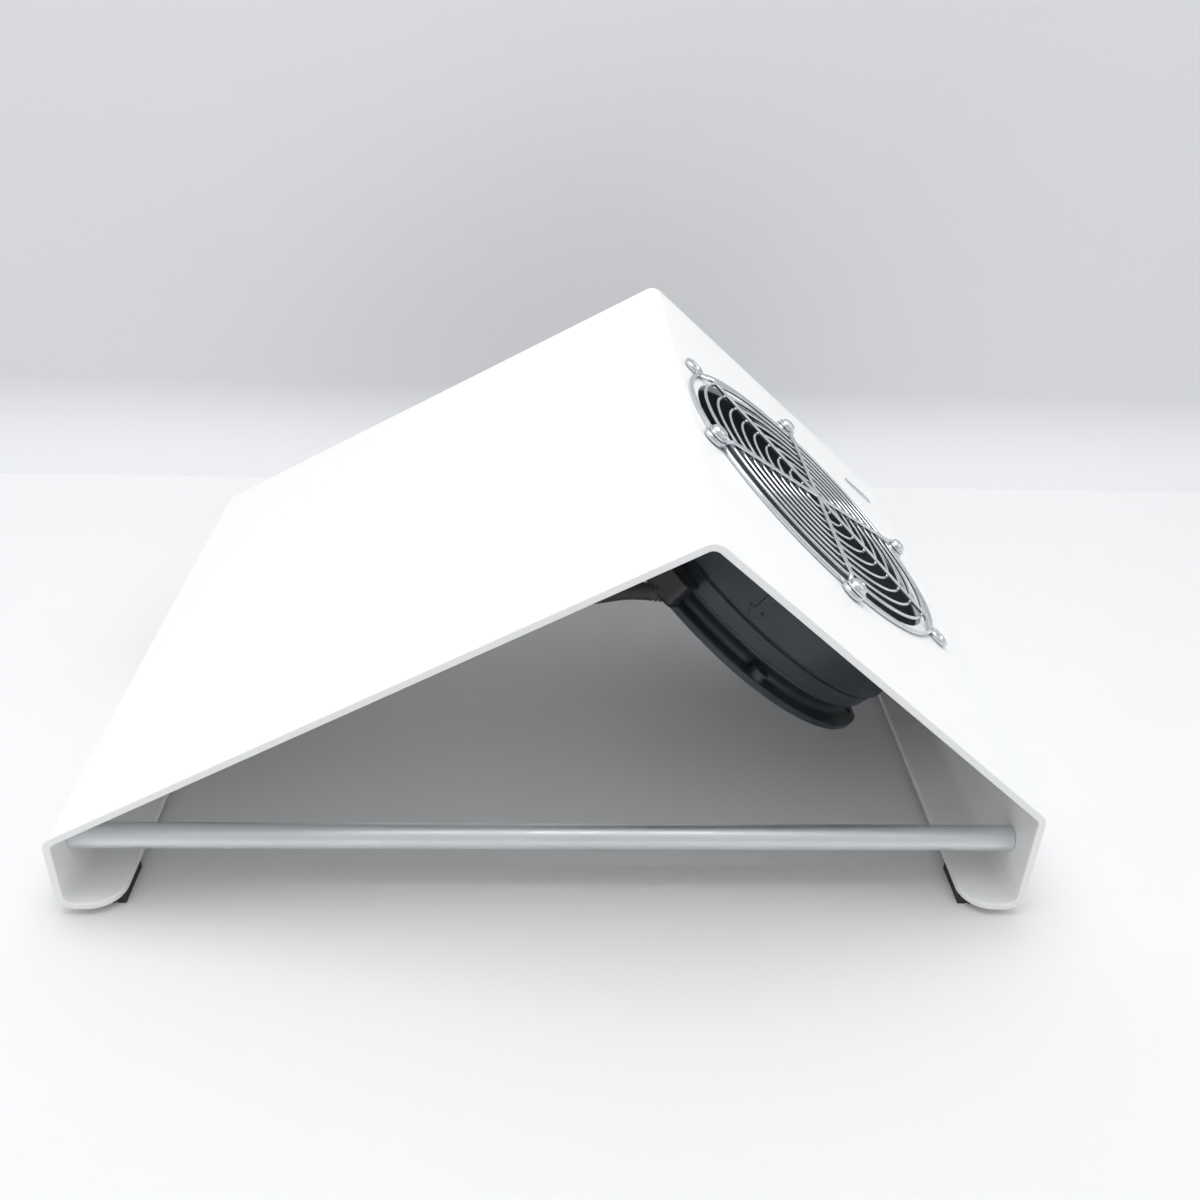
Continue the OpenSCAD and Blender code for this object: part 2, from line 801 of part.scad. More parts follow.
// Insulating boot over the inlet's terminals, with the lead's sleeve on its near side
module inlet_boot() {
    last = len(lead_route) - 1;
    sleeve = unit(lead_route[last] - lead_route[last - 1]);
    color("black") difference() {
        union() {
            on_left_leg(inlet_y)
                translate([-boot[0] / 2, -boot[1] / 2, -inlet_depth - boot[2]])
                    cube([boot[0], boot[1], boot[2] + boot_overlap]);
            bar(lead_route[last], lead_route[last] + sleeve_len * sleeve, sleeve_r);
        }
        on_left_leg(inlet_y) {
            translate([-inlet_body[0] / 2, -inlet_body[1] / 2, -inlet_depth])
                cube([inlet_body[0], inlet_body[1], 2 * boot_overlap]);
            inlet_pins_shape();
        }
    }
}

// ---- Rocker switch ----

module switch_housing() {
    color("black") on_left_leg(switch_y) difference() {
        union() {
            rounded_plate(bezel, bezel_corner_r, bezel_t);
            translate([-switch_body[0] / 2, -switch_body[1] / 2, -switch_depth])
                cube([switch_body[0], switch_body[1], switch_depth + 1]);
        }
        translate([-well_w / 2, -rocker_w / 2 - rocker_gap, -well_depth])
            cube([well_w, rocker_w + 2 * rocker_gap, well_depth + bezel_t + eps]);
        translate([0, 0, rocker_pivot]) rotate([90, 0, 0])
            cylinder(r = pivot_pin_r + bearing_gap, h = rocker_w + 2 * pivot_pin_reach + 0.2, center = true);
        switch_tabs_shape();
    }
}

// The rocker is modelled in its off position
module switch_rocker() {
    color("black") on_left_leg(switch_y)
        translate([0, 0, rocker_pivot]) rotate([90, 0, 0]) rotate(rocker_tilt) {
            linear_extrude(rocker_w, center = true) intersection() {
                circle(r = rocker_r, $fn = 96);
                polygon([[-10, 3.2], [0, 2.2], [10, 3.2], [10, -3], [-10, -3]]);
            }
            cylinder(r = pivot_pin_r, h = rocker_w + 2 * pivot_pin_reach, center = true);
        }
}

module switch_tabs_shape() {
    for (s = [-1, 1]) translate([s * switch_tab_x, 0, -switch_depth - switch_tab_reach])
        translate([-switch_tab_size[0] / 2, -switch_tab_size[1] / 2, 0]) cube(switch_tab_size);
}
module switch_tabs() {
    color("gold") on_left_leg(switch_y) switch_tabs_shape();
}

// Two insulated wires from the boot to the switch's tabs
module switch_wires() {
    boot_x = -leg_x + inlet_depth + boot[2] / 2;
    boot_y = inlet_y + boot[0] / 2;
    tab_x = -leg_x + switch_depth + switch_tab_reach;
    color("saddlebrown") for (s = [-1, 1]) {
        tab_y = switch_y + s * switch_tab_x;
        swept(smooth([
            [boot_x, boot_y, controls_z + 3 * s],
            [boot_x, boot_y + 6, controls_z + 3 * s],
            [boot_x + 6, tab_y - 14, controls_z + 2 * s],
            [tab_x + 7, tab_y - 3, controls_z],
            [tab_x + 5, tab_y, controls_z],
            [tab_x, tab_y, controls_z]
        ], 3), switch_wire_r, 8);
    }
}

body_shell();
foot_front_left();
foot_rear_left();
foot_front_right();
foot_rear_right();
front_rod();
rear_rod();
rod_screws();
badge();
finger_guard();
guard_screws();
guard_washers();
fan_housing();
airflow_arrow();
bearing_cap();
front_bearing();
rear_bearing();
stator_core();
stator_windings();
stator_wires();
motor_label();
impeller_hub();
fan_blades();
rotor_cup();
rotor_cage();
rotor_shaft();
shaft_clip();
terminal_block();
terminal_tabs();
fan_plug();
fan_lead();
cable_clips();
power_inlet();
inlet_pins();
inlet_screws();
inlet_nuts();
inlet_boot();
switch_housing();
switch_rocker();
switch_tabs();
switch_wires();
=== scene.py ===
import bmesh
import bpy
import json
import math
import random
from mathutils import Matrix, Vector


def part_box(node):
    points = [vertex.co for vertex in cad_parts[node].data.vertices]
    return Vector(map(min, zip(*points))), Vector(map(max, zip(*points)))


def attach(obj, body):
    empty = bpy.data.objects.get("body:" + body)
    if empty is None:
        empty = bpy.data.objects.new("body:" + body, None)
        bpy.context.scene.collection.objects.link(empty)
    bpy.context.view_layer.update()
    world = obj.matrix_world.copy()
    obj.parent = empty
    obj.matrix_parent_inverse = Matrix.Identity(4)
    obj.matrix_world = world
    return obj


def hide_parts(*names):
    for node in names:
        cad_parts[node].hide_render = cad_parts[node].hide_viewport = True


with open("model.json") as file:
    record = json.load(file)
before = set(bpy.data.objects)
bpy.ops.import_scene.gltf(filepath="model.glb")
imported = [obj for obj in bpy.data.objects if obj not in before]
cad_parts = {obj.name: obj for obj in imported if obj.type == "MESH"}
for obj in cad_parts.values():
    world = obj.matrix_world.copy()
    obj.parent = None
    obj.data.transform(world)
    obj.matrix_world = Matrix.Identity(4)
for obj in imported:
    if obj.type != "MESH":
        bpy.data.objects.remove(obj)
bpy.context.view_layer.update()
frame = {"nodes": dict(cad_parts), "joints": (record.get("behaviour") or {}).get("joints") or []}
random.seed(7)

# ---------------------------------------------------------------- sizes, in millimetres

MM = 0.001
TO_METRES = Matrix.Scale(MM, 4)

shell_low, shell_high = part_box("body_shell")
leg_x = shell_high.x / MM
half_depth = shell_high.y / MM
sheet_t = 3.0
bend_r = 3.5
flange_w = 23.0
flange_corner_r = 12.0
pad_t = shell_low.z / MM
ridge_x, ridge_h = 52.0, 164.5
left_bend_h, right_bend_h = 36.0, 49.0
edge_round = 0.55

rod_low, rod_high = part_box("front_rod")
rod_r = (rod_high.z - rod_low.z) / 2 / MM
rod_y = -(rod_high.y + rod_low.y) / 2 / MM
rod_z = (rod_high.z + rod_low.z) / 2 / MM

# Depths in the fan's frame are below the sheet's outer face
fan_top, fan_bottom = -3.0, -54.0
throat_r, flange_r, barrel_r = 71.0, 86.0, 84.0
fan_flat = 75.0
hole_circle_r = 81.0
hole_angles = [30, 90, 150, 210, 270, 330]
screw_angles = [30, 90, 210, 270]
cup_r, hub_r, tip_r = 44.0, 46.0, 69.5
cup_top, cup_bottom = -8.0, -43.0
motor_plate_r, motor_plate_top, motor_plate_bottom = 40.0, -47.0, -52.0
blade_count = 7
plug_angle = 233.0
arrow_angle = 255.0
joint_depth = -26.0

ring_count, ring_pitch, first_ring_r = 10, 7.5, 9.0
rib_r, ring_wire_r, eyelet_r = 1.0, 0.7, 4.0
rib_z, ring_z = 3.6, 2.3

controls_z, inlet_y, switch_y = 21.0, 40.0, 88.0
inlet_opening, switch_opening = (27.4, 19.9), (19.6, 13.6)
inlet_screw_span = 40.0
guard_hole_r, rod_hole_r, inlet_hole_r = 2.6, 2.75, 1.7

# Points of the lead from the fan's plug to the inlet's boot
lead_r = 3.5
lead_route = [
    (38, -76, 106.5), (28, -76, 106.5), (14, -75, 103.5), (-8, -72, 99),
    (-30, -67, 97), (-50, -62, 96.5), (-66, -56, 90), (-84, -49, 80.5),
    (-104, -41, 69.7), (-122, -32, 59.9), (-136, -22, 52.3), (-146, -12, 46),
    (-152, -4, 37), (-155, 4, 28.5), (-156, 12, 23), (-156, 20, 21),
]

spin = next(j for j in frame["joints"] if j["name"] == "fan_spin")
axis_n = Vector(spin["axis"]).normalized()
axis_y = Vector((0, 1, 0))
axis_s = axis_y.cross(axis_n)
fan_origin = Vector(spin["pos_m"]) - axis_n * joint_depth * MM
FAN = Matrix.Translation(fan_origin) @ Matrix((axis_s, axis_y, axis_n)).transposed().to_4x4() @ TO_METRES


# ---------------------------------------------------------------- mesh helpers

def new_object(name, bm, material, body, replaced=(), place=TO_METRES, sharp_deg=40):
    """Turns a bmesh made in millimetres into a piece that rides on a body."""
    bmesh.ops.recalc_face_normals(bm, faces=bm.faces)
    bm.transform(place)
    mesh = bpy.data.meshes.new(name)
    bm.to_mesh(mesh)
    bm.free()
    mesh.shade_smooth()
    mesh.set_sharp_from_angle(angle=math.radians(sharp_deg))
    mesh.materials.append(material)
    piece = bpy.data.objects.new(name, mesh)
    bpy.context.scene.collection.objects.link(piece)
    normals = piece.modifiers.new("weighted_normals", "WEIGHTED_NORMAL")
    normals.keep_sharp = True
    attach(piece, body)
    if replaced:
        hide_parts(*replaced)
    return piece


def loft(bm, rings, closed_along=False, closed_round=True, cap=True):
    """Joins rings of points, each with the same number of points, into a skin."""
    rows = [[bm.verts.new(p) for p in ring] for ring in rings]
    count = len(rows[0])
    spans = len(rows) if closed_along else len(rows) - 1
    for i in range(spans):
        a, b = rows[i], rows[(i + 1) % len(rows)]
        for k in range(count if closed_round else count - 1):
            m = (k + 1) % count
            bm.faces.new((a[k], a[m], b[m], b[k]))
    if cap and not closed_along:
        bm.faces.new(rows[0])
        bm.faces.new(list(reversed(rows[-1])))
    return rows


def lathe(bm, outline, steps=96, closed=True, centre=(0, 0, 0)):
    """Turns (radius, height) points round the Z axis. An open outline starts and ends on the axis."""
    cx, cy, cz = centre
    rows = []
    for r, z in outline:
        if r < 1e-6:
            rows.append([bm.verts.new((cx, cy, cz + z))])
            continue
        angles = [2 * math.pi * k / steps for k in range(steps)]
        rows.append([bm.verts.new((cx + r * math.cos(a), cy + r * math.sin(a), cz + z)) for a in angles])
    for i in range(len(rows) if closed else len(rows) - 1):
        a, b = rows[i], rows[(i + 1) % len(rows)]
        for k in range(steps):
            m = (k + 1) % steps
            corners = [a[k % len(a)], a[m % len(a)], b[m % len(b)], b[k % len(b)]]
            unique = list(dict.fromkeys(corners))
            if len(unique) > 2:
                bm.faces.new(unique)


def tube(bm, points, radius, sides=12, closed=False):
    """Round wire along points. radius is a number or one number for each point."""
    points = [Vector(p) for p in points]
    count = len(points)
    radii = radius if isinstance(radius, list) else [radius] * count
    rings = []
    previous = None
    for i, p in enumerate(points):
        ahead = points[(i + 1) % count] if closed or i < count - 1 else p
        behind = points[i - 1] if closed or i > 0 else p
        tangent = (ahead - behind).normalized()
        side = previous - tangent * previous.dot(tangent) if previous else tangent.orthogonal()
        side.normalize()
        previous = side
        up = tangent.cross(side)
        angles = [2 * math.pi * k / sides for k in range(sides)]
        rings.append([p + radii[i] * (math.cos(a) * side + math.sin(a) * up) for a in angles])
    loft(bm, rings, closed_along=closed)


def smooth_path(points, steps):
    """Catmull-Rom curve through the given points."""
    p = [Vector(q) for q in points]
    p = [2 * p[0] - p[1], *p, 2 * p[-1] - p[-2]]
    curve = []
    for a, b, c, d in zip(p, p[1:], p[2:], p[3:]):
        for k in range(steps):
            t = k / steps
            curve.append(0.5 * (2 * b + (c - a) * t + (2 * a - 5 * b + 4 * c - d) * t * t
                                + (3 * b - a - 3 * c + d) * t ** 3))
    curve.append(p[-2])
    return curve


def prism(bm, outline, low, high, place=Matrix()):
    """Straight block over a closed outline of (x, y) points."""
    rings = [[place @ Vector((x, y, z)) for x, y in outline] for z in (low, high)]
    loft(bm, rings)


def rounded_rectangle(width, height, r, steps=5):
    points = []
    for cx, cy, start in ((1, 1, 0), (-1, 1, 90), (-1, -1, 180), (1, -1, 270)):
        for k in range(steps + 1):
            a = math.radians(start + 90 * k / steps)
            points.append((cx * (width / 2 - r) + r * math.cos(a), cy * (height / 2 - r) + r * math.sin(a)))
    return points


def circle_points(r, steps, cx=0.0, cy=0.0):
    angles = [2 * math.pi * k / steps for k in range(steps)]
    return [(cx + r * math.cos(a), cy + r * math.sin(a)) for a in angles]


def boolean(bm, cutter, operation="DIFFERENCE"):
    """Returns a new bmesh: bm with the cutter's shape removed, kept or added."""
    objects = []
    for source in (bm, cutter):
        bmesh.ops.recalc_face_normals(source, faces=source.faces)
        mesh = bpy.data.meshes.new("scratch")
        source.to_mesh(mesh)
        source.free()
        obj = bpy.data.objects.new("scratch", mesh)
        bpy.context.scene.collection.objects.link(obj)
        objects.append(obj)
    modifier = objects[0].modifiers.new("cut", "BOOLEAN")
    modifier.object = objects[1]
    modifier.operation = operation
    modifier.solver = "EXACT"
    cut = objects[0].evaluated_get(bpy.context.evaluated_depsgraph_get()).to_mesh()
    result = bmesh.new()
    result.from_mesh(cut)
    for obj in objects:
        mesh = obj.data
        bpy.data.objects.remove(obj)
        bpy.data.meshes.remove(mesh)
    bmesh.ops.remove_doubles(result, verts=result.verts, dist=1e-4)
    return result


def round_edges(bm, width, segments=3, angle_deg=35, keep=None):
    """Rounds every edge sharper than the angle, or those of them that keep() accepts."""
    bmesh.ops.dissolve_limit(bm, angle_limit=math.radians(0.5), verts=bm.verts, edges=bm.edges)
    edges = [e for e in bm.edges if e.is_manifold and e.calc_face_angle(0) > math.radians(angle_deg)]
    if keep:
        edges = [e for e in edges if keep(e)]
    bmesh.ops.bevel(bm, geom=edges, offset=width, segments=segments, profile=0.5, affect="EDGES",
                    clamp_overlap=True)


# ---------------------------------------------------------------- materials

def noise(nodes, links, coords, scale, detail=2.0, roughness=0.5):
    node = nodes.new("ShaderNodeTexNoise")
    node.inputs["Scale"].default_value = scale
    node.inputs["Detail"].default_value = detail
    node.inputs["Roughness"].default_value = roughness
    links.new(coords, node.inputs["Vector"])
    return node.outputs["Fac"]


def spread(nodes, links, value, low, high):
    node = nodes.new("ShaderNodeMapRange")
    node.inputs["From Min"].default_value = 0.3
    node.inputs["From Max"].default_value = 0.7
    node.inputs["To Min"].default_value = low
    node.inputs["To Max"].default_value = high
    links.new(value, node.inputs["Value"])
    return node.outputs["Result"]


def blend_colours(nodes, links, factor, first, second):
    node = nodes.new("ShaderNodeMix")
    node.data_type = "RGBA"
    for socket, colour in ((node.inputs["A"], first), (node.inputs["B"], second)):
        if isinstance(colour, bpy.types.NodeSocket):
            links.new(colour, socket)
        else:
            socket.default_value = (*colour, 1.0)
    links.new(factor, node.inputs["Factor"])
    return node.outputs["Result"]


def bump(nodes, links, height, distance, strength, normal=None):
    node = nodes.new("ShaderNodeBump")
    node.inputs["Distance"].default_value = distance
    node.inputs["Strength"].default_value = strength
    links.new(height, node.inputs["Height"])
    if normal:
        links.new(normal, node.inputs["Normal"])
    return node.outputs["Normal"]


def edge_mask(nodes, links, radius):
    """One at worn edges and nought on flat faces, from how far a rounded normal leans."""
    rounded = nodes.new("ShaderNodeBevel")
    rounded.samples = 4
    rounded.inputs["Radius"].default_value = radius
    plain = nodes.new("ShaderNodeNewGeometry")
    dot = nodes.new("ShaderNodeVectorMath")
    dot.operation = "DOT_PRODUCT"
    links.new(rounded.outputs["Normal"], dot.inputs[0])
    links.new(plain.outputs["Normal"], dot.inputs[1])
    ramp = nodes.new("ShaderNodeMapRange")
    ramp.inputs["From Min"].default_value = 0.995
    ramp.inputs["From Max"].default_value = 0.85
    links.new(dot.outputs["Value"], ramp.inputs["Value"])
    return ramp.outputs["Result"]


def make_material(name, colour, other, rough, metallic=0.0, grain=(700, 0.00002, 0.2), mottle=35,
                  wear=None, **sockets):
    """Two close colours, a range of roughness, a fine grain, and worn edges.

    grain is (scale, distance, strength) of the bump. wear is (colour, radius, share) of the worn edges.
    """
    material = bpy.data.materials.new(name)
    material.use_nodes = True
    nodes, links = material.node_tree.nodes, material.node_tree.links
    shader = nodes["Principled BSDF"]
    coords = nodes.new("ShaderNodeTexCoord").outputs["Object"]
    patches = noise(nodes, links, coords, mottle, 4.0, 0.6)
    base = blend_colours(nodes, links, spread(nodes, links, patches, 0, 1), colour, other)
    fine = noise(nodes, links, coords, grain[0], 3.0)
    roughness = spread(nodes, links, noise(nodes, links, coords, mottle * 3, 3.0), *rough)
    if wear:
        worn_colour, radius, share = wear
        scatter = spread(nodes, links, noise(nodes, links, coords, 260, 4.0, 0.7), 0, share)
        product = nodes.new("ShaderNodeMath")
        product.operation = "MULTIPLY"
        links.new(edge_mask(nodes, links, radius), product.inputs[0])
        links.new(scatter, product.inputs[1])
        base = blend_colours(nodes, links, product.outputs["Value"], base, worn_colour)
    links.new(base, shader.inputs["Base Color"])
    links.new(roughness, shader.inputs["Roughness"])
    links.new(bump(nodes, links, fine, grain[1], grain[2]), shader.inputs["Normal"])
    shader.inputs["Metallic"].default_value = metallic
    for socket, value in sockets.items():
        shader.inputs[socket.replace("_", " ")].default_value = value
    return material


white_coat = make_material("white_powder_coat", (0.895, 0.895, 0.89), (0.875, 0.877, 0.875), (0.33, 0.42),
                           grain=(650, 0.00004, 0.16), mottle=14, wear=((0.70, 0.70, 0.68), 0.0007, 0.6))
satin_rod = make_material("satin_aluminium_rod", (0.74, 0.765, 0.77), (0.69, 0.715, 0.72),
                          (0.34, 0.46), 0.8, grain=(1300, 0.00003, 0.3), mottle=22)
pad_rubber = make_material("foot_rubber", (0.020, 0.020, 0.021), (0.034, 0.034, 0.035), (0.70, 0.86),
                           grain=(1400, 0.00008, 0.5), mottle=60, wear=((0.09, 0.09, 0.09), 0.0007, 0.6))
fan_paint = make_material("fan_black_paint", (0.017, 0.025, 0.031), (0.027, 0.037, 0.045), (0.34, 0.50),
                          grain=(520, 0.00006, 0.35), mottle=30, wear=((0.10, 0.11, 0.12), 0.0006, 0.5),
                          Coat_Weight=0.1)
cap_paint = make_material("cap_black_paint", (0.008, 0.010, 0.013), (0.013, 0.016, 0.020), (0.55, 0.70),
                          grain=(700, 0.00005, 0.3), mottle=35, wear=((0.07, 0.075, 0.08), 0.0006, 0.4))
blade_plastic = make_material("blade_black_plastic", (0.020, 0.022, 0.026), (0.032, 0.034, 0.038),
                              (0.36, 0.52), grain=(800, 0.00004, 0.3), mottle=40,
                              wear=((0.11, 0.115, 0.12), 0.0005, 0.5))
black_plastic = make_material("moulded_black_plastic", (0.020, 0.020, 0.023), (0.030, 0.030, 0.033),
                              (0.38, 0.55), grain=(1100, 0.00005, 0.35), mottle=50,
                              wear=((0.085, 0.085, 0.09), 0.0005, 0.5))
cable_vinyl = make_material("black_cable_vinyl", (0.016, 0.016, 0.018), (0.026, 0.026, 0.028), (0.42, 0.58),
                            grain=(600, 0.00004, 0.25), mottle=40)
white_nylon = make_material("white_nylon", (0.80, 0.80, 0.78), (0.74, 0.74, 0.72), (0.40, 0.55),
                            grain=(900, 0.00004, 0.25), mottle=45, Subsurface_Weight=0.08)
guard_plating = make_material("bright_nickel_wire", (0.72, 0.73, 0.75), (0.60, 0.62, 0.66),
                              (0.12, 0.26), 1.0, grain=(900, 0.00002, 0.2), mottle=90)
zinc_plating = make_material("bright_zinc_plating", (0.74, 0.75, 0.77), (0.62, 0.64, 0.68),
                             (0.16, 0.32), 1.0, grain=(1200, 0.00002, 0.25), mottle=120)
ground_steel = make_material("ground_bearing_steel", (0.60, 0.61, 0.63), (0.48, 0.49, 0.52),
                             (0.18, 0.30), 1.0, grain=(1500, 0.00002, 0.3), mottle=140)
lamination = make_material("lamination_steel", (0.30, 0.30, 0.32), (0.20, 0.20, 0.22), (0.40, 0.58), 1.0,
                           grain=(1800, 0.00006, 0.5), mottle=90)
brass = make_material("terminal_brass", (0.78, 0.60, 0.30), (0.66, 0.48, 0.22), (0.22, 0.38), 1.0,
                      grain=(1200, 0.00003, 0.3), mottle=120)
label_foil = make_material("blank_foil_label", (0.66, 0.67, 0.69), (0.58, 0.59, 0.61), (0.28, 0.40), 0.85,
                           grain=(1600, 0.00002, 0.25), mottle=60)
badge_metal = make_material("badge_satin_metal", (0.70, 0.71, 0.73), (0.60, 0.61, 0.64), (0.20, 0.34), 1.0,
                            grain=(1400, 0.00002, 0.25), mottle=100)
copper = make_material("varnished_copper", (0.62, 0.27, 0.12), (0.48, 0.19, 0.08), (0.30, 0.45), 0.9,
                       grain=(2600, 0.00012, 0.8), mottle=110)
wire_sleeve = make_material("brown_wire_sleeve", (0.16, 0.055, 0.03), (0.12, 0.04, 0.022), (0.40, 0.55),
                            grain=(900, 0.00003, 0.2), mottle=80)
mark_paint = make_material("white_mark_paint", (0.82, 0.82, 0.80), (0.76, 0.76, 0.74), (0.40, 0.50),
                           grain=(1200, 0.00002, 0.2), mottle=80)


# ---------------------------------------------------------------- bent sheet body

def sheet_sections(steps=10):
    """Outer and inner points in pairs along the bent sheet, from the left flange to the right one."""
    corners = [Vector(c) for c in (
        (flange_w - leg_x, pad_t), (-leg_x, pad_t), (-leg_x, left_bend_h), (ridge_x, ridge_h),
        (leg_x, right_bend_h), (leg_x, pad_t), (leg_x - flange_w, pad_t))]
    outer_r = bend_r + sheet_t
    pairs = [(corners[0], corners[0] + Vector((0, sheet_t)))]
    for before, corner, after in zip(corners, corners[1:], corners[2:]):
        came = (corner - before).normalized()
        goes = (after - corner).normalized()
        turn = came.angle(goes)
        start = corner - came * outer_r * math.tan(turn / 2)
        first = Vector((came.y, -came.x))
        centre = start + first * outer_r
        for k in range(steps + 1):
            a = -turn * k / steps
            inward = Vector((first.x * math.cos(a) - first.y * math.sin(a),
                             first.x * math.sin(a) + first.y * math.cos(a)))
            pairs.append((centre - inward * outer_r, centre - inward * bend_r))
    pairs.append((corners[-1], corners[-1] + Vector((0, sheet_t))))
    return pairs


def flange_corner_cutter(bm, side_x, side_y):
    """Leaves the free corner of a flange rounded."""
    r = flange_corner_r
    corner = Vector((side_x * (leg_x - flange_w), side_y * half_depth))
    centre = corner + Vector((side_x * r, -side_y * r))
    arc = [math.radians(90 * k / 12) for k in range(13)]
    points = [(centre.x - side_x * r * math.cos(a), centre.y + side_y * r * math.sin(a)) for a in arc]
    past_x, past_y = corner.x - side_x, corner.y + side_y
    outline = [(past_x, centre.y), *points, (centre.x, past_y), (past_x, past_y)]
    prism(bm, outline, pad_t - 1, pad_t + sheet_t + 1)


def build_shell():
    bm = bmesh.new()
    rings = []
    for y in (-half_depth, half_depth):
        pairs = sheet_sections()
        outer = [(p.x, y, p.y) for p, q in pairs]
        inner = [(q.x, y, q.y) for p, q in pairs]
        rings.append(outer + inner[::-1])
    rows = loft(bm, rings, cap=False)
    count = len(rows[0])
    for row in rows:
        for k in range(count // 2 - 1):
            bm.faces.new((row[k], row[k + 1], row[count - 2 - k], row[count - 1 - k]))

    cutter = bmesh.new()
    from_fan = TO_METRES.inverted() @ FAN
    prism(cutter, circle_points(throat_r, 144), -8, 6, from_fan)
    for a in screw_angles:
        x, y = hole_circle_r * math.cos(math.radians(a)), hole_circle_r * math.sin(math.radians(a))
        prism(cutter, circle_points(guard_hole_r, 24, x, y), -8, 6, from_fan)
    for side_x in (-1, 1):
        for side_y in (-1, 1):
            flange_corner_cutter(cutter, side_x, side_y)
            spot = Matrix.Translation((side_x * leg_x, side_y * rod_y, rod_z))
            across = spot @ Matrix.Rotation(math.pi / 2, 4, "Y")
            prism(cutter, circle_points(rod_hole_r, 24), -2 * sheet_t, 2 * sheet_t, across)
    for y, width, height in ((inlet_y, *inlet_opening), (switch_y, *switch_opening)):
        prism(cutter, rounded_rectangle(width, height, 0.6, 3), -2 * sheet_t, 2 * sheet_t, on_left_leg(y))
    for side in (-1, 1):
        hole = circle_points(inlet_hole_r, 20, side * inlet_screw_span / 2)
        prism(cutter, hole, -2 * sheet_t, 2 * sheet_t, on_left_leg(inlet_y))
    bm = boolean(bm, cutter)
    round_edges(bm, edge_round, 3, 50)
    new_object("shell_sheet", bm, white_coat, "base", ["body_shell"])


def on_left_leg(y):
    """Frame on the left leg's outer face: X runs towards the front, Y up and Z out of the leg."""
    turn = Matrix(((0, 0, -1), (-1, 0, 0), (0, 1, 0))).to_4x4()
    return Matrix.Translation((-leg_x, y, controls_z)) @ turn


def build_feet():
    """Four stick-on rubber feet, each with three shallow grooves along its underside."""
    groove_pitch, groove_half, groove_depth = 4.5, 0.8, 0.5
    for side_x, across in ((-1, "left"), (1, "right")):
        for side_y, along in ((-1, "front"), (1, "rear")):
            node = f"foot_{along}_{across}"
            low, high = (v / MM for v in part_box(node))
            middle = (low + high) / 2
            half = (high.x - low.x) / 2
            outline = [(-half, 0)]
            for groove in (-groove_pitch, 0, groove_pitch):
                outline += [(groove - groove_half, 0), (groove - groove_half / 2, groove_depth),
                            (groove + groove_half / 2, groove_depth), (groove + groove_half, 0)]
            outline += [(half, 0), (half, high.z), (-half, high.z)]
            bm = bmesh.new()
            stand = Matrix.Translation((middle.x, middle.y, 0)) @ Matrix.Rotation(math.pi / 2, 4, "X")
            reach = (high.y - low.y) / 2
            prism(bm, outline, -reach, reach, stand)
            round_edges(bm, 1.2, 4, 35, keep=lambda e: abs(e.verts[0].co.z - e.verts[1].co.z) > 1)
            new_object(f"rubber_foot_{along}_{across}", bm, pad_rubber, "base", [node])


def build_rods():
    half = (rod_high.x - rod_low.x) / 2 / MM
    bore_r, bore_depth, chamfer = 2.5, 14.0, 0.6
    outline = [
        (0, -half + bore_depth), (bore_r, -half + bore_depth), (bore_r, -half), (rod_r - chamfer, -half),
        (rod_r - 0.2, -half + 0.25), (rod_r, -half + chamfer), (rod_r, half - chamfer),
        (rod_r - 0.2, half - 0.25), (rod_r - chamfer, half), (bore_r, half), (bore_r, half - bore_depth),
        (0, half - bore_depth)]
    for name, node, side in (("tie_rod_front", "front_rod", -1), ("tie_rod_rear", "rear_rod", 1)):
        bm = bmesh.new()
        lathe(bm, outline, 48, closed=False)
        lay = Matrix.Translation((0, side * rod_y * MM, rod_z * MM)) @ Matrix.Rotation(math.pi / 2, 4, "Y")
        new_object(name, bm, satin_rod, "base", [node], lay @ TO_METRES, 30)


def screw_mesh(head, shank_r, shank_len, socket_sides, socket_r, socket_depth, cross=False):
    """Screw with its head's underside at zero. head is (radius, height) points from the rim to the crown."""
    bm = bmesh.new()
    shank = [(0, -shank_len), (shank_r - 0.4, -shank_len), (shank_r, -shank_len + 0.4), (shank_r, 0)]
    crown = head[-1][1]
    lathe(bm, [*shank, *head, (0, crown)], 40, closed=False)
    bottom, top = crown - socket_depth, crown + 0.3
    if not cross:
        cutter = bmesh.new()
        prism(cutter, circle_points(socket_r, socket_sides), bottom, top)
        return boolean(bm, cutter)
    slim = 0.34 * socket_r
    signs = ((-1, -1), (1, -1), (1, 1), (-1, 1))
    for turn in (0, 90):
        arm = Matrix.Rotation(math.radians(turn), 4, "Z")
        rings = []
        for x, y, z in ((0.4 * socket_r, 0.5 * slim, bottom), (socket_r, slim, top)):
            rings.append([arm @ Vector((sx * x, sy * y, z)) for sx, sy in signs])
        cutter = bmesh.new()
        loft(cutter, rings)
        bm = boolean(bm, cutter)
    return bm


def place_copies(prefix, source, places, material, node, body="base", sharp_deg=35):
    """Makes one piece from a bmesh at each place."""
    for index, place in enumerate(places, 1):
        new_object(f"{prefix}_{index}", source.copy(), material, body, [node], place, sharp_deg)
    source.free()


def build_rod_screws():
    head = [(4.55, 0.0), (4.75, 0.2), (4.72, 0.7), (4.45, 1.35), (3.9, 1.95), (3.1, 2.4), (2.3, 2.65),
            (1.9, 2.75)]
    bm = screw_mesh(head, 2.5, 15.0, 6, 1.55, 1.6)
    places = []
    for side_x in (-1, 1):
        for side_y in (-1, 1):
            stand = Matrix.Rotation(side_x * math.pi / 2, 4, "Y") @ Matrix.Rotation(0.3 * side_y, 4, "Z")
            spot = Matrix.Translation((side_x * leg_x * MM, side_y * rod_y * MM, rod_z * MM))
            places.append(spot @ stand @ TO_METRES)
    place_copies("rod_screw", bm, places, zinc_plating, "rod_screws")


